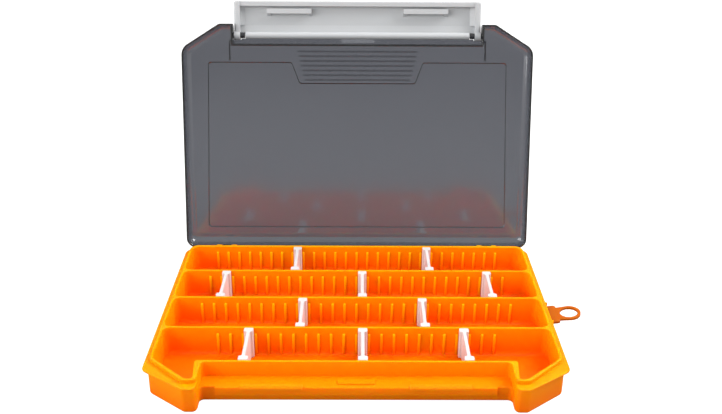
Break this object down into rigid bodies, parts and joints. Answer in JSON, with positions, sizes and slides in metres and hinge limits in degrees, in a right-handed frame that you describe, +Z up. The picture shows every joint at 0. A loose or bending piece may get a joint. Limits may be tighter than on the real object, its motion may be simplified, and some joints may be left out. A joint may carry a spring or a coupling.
{
  "type": "divided case with hinged lid",
  "caption": "Flat compartment box with a hinged see-through lid, a flip latch, removable dividers and a fold-down hang loop.",
  "frame": {"origin": "centre of the tray's underside", "axes": "+X to the right along the length, +Y to the back where the lid is hinged, +Z up"},
  "size_m": [0.3002, 0.2377, 0.212],
  "materials": {
    "tray_orange": "semi-gloss",
    "lid_smoke": "gloss",
    "latch_white": "semi-gloss",
    "divider_white": "semi-gloss",
    "loop_orange": "semi-gloss",
    "pin_steel": "brushed"
  },
  "bodies": {
    "body": {"tray": "tray_orange", "hinge_pin_left": "pin_steel", "hinge_pin_right": "pin_steel"},
    "lid": {"lid": "lid_smoke"},
    "latch": {"latch": "latch_white"},
    "hang_loop": {"hang_loop": "loop_orange"},
    "divider_back_left": {"divider_back_left": "divider_white"},
    "divider_back_right": {"divider_back_right": "divider_white"},
    "divider_second_left": {"divider_second_left": "divider_white"},
    "divider_second_middle": {"divider_second_middle": "divider_white"},
    "divider_second_right": {"divider_second_right": "divider_white"},
    "divider_third_left": {"divider_third_left": "divider_white"},
    "divider_third_right": {"divider_third_right": "divider_white"},
    "divider_front_left": {"divider_front_left": "divider_white"},
    "divider_front_middle": {"divider_front_middle": "divider_white"},
    "divider_front_right": {"divider_front_right": "divider_white"}
  },
  "joints": [
    {"name": "lid_hinge", "type": "hinge", "parent": "body", "child": "lid", "pos_m": [0, 0.0916, 0.0203], "axis": [-1, 0, 0], "range_deg": [-103.3, 0]},
    {"name": "latch_hinge", "type": "hinge", "parent": "lid", "child": "latch", "pos_m": [0, 0.138, 0.1853], "axis": [-1, 0, 0], "range_deg": [-90, 0]},
    {"name": "hang_loop_hinge", "type": "hinge", "parent": "body", "child": "hang_loop", "pos_m": [0.13727, -0.001, 0.0164], "axis": [0, -1, 0], "range_deg": [-35, 0]},
    {"name": "divider_back_left_lift", "type": "slide", "parent": "body", "child": "divider_back_left", "axis": [0, 0, 1], "range_m": [0, 0.024]},
    {"name": "divider_back_right_lift", "type": "slide", "parent": "body", "child": "divider_back_right", "axis": [0, 0, 1], "range_m": [0, 0.024]},
    {"name": "divider_second_left_lift", "type": "slide", "parent": "body", "child": "divider_second_left", "axis": [0, 0, 1], "range_m": [0, 0.024]},
    {"name": "divider_second_middle_lift", "type": "slide", "parent": "body", "child": "divider_second_middle", "axis": [0, 0, 1], "range_m": [0, 0.024]},
    {"name": "divider_second_right_lift", "type": "slide", "parent": "body", "child": "divider_second_right", "axis": [0, 0, 1], "range_m": [0, 0.024]},
    {"name": "divider_third_left_lift", "type": "slide", "parent": "body", "child": "divider_third_left", "axis": [0, 0, 1], "range_m": [0, 0.024]},
    {"name": "divider_third_right_lift", "type": "slide", "parent": "body", "child": "divider_third_right", "axis": [0, 0, 1], "range_m": [0, 0.024]},
    {"name": "divider_front_left_lift", "type": "slide", "parent": "body", "child": "divider_front_left", "axis": [0, 0, 1], "range_m": [0, 0.024]},
    {"name": "divider_front_middle_lift", "type": "slide", "parent": "body", "child": "divider_front_middle", "axis": [0, 0, 1], "range_m": [0, 0.024]},
    {"name": "divider_front_right_lift", "type": "slide", "parent": "body", "child": "divider_front_right", "axis": [0, 0, 1], "range_m": [0, 0.024]}
  ]
}
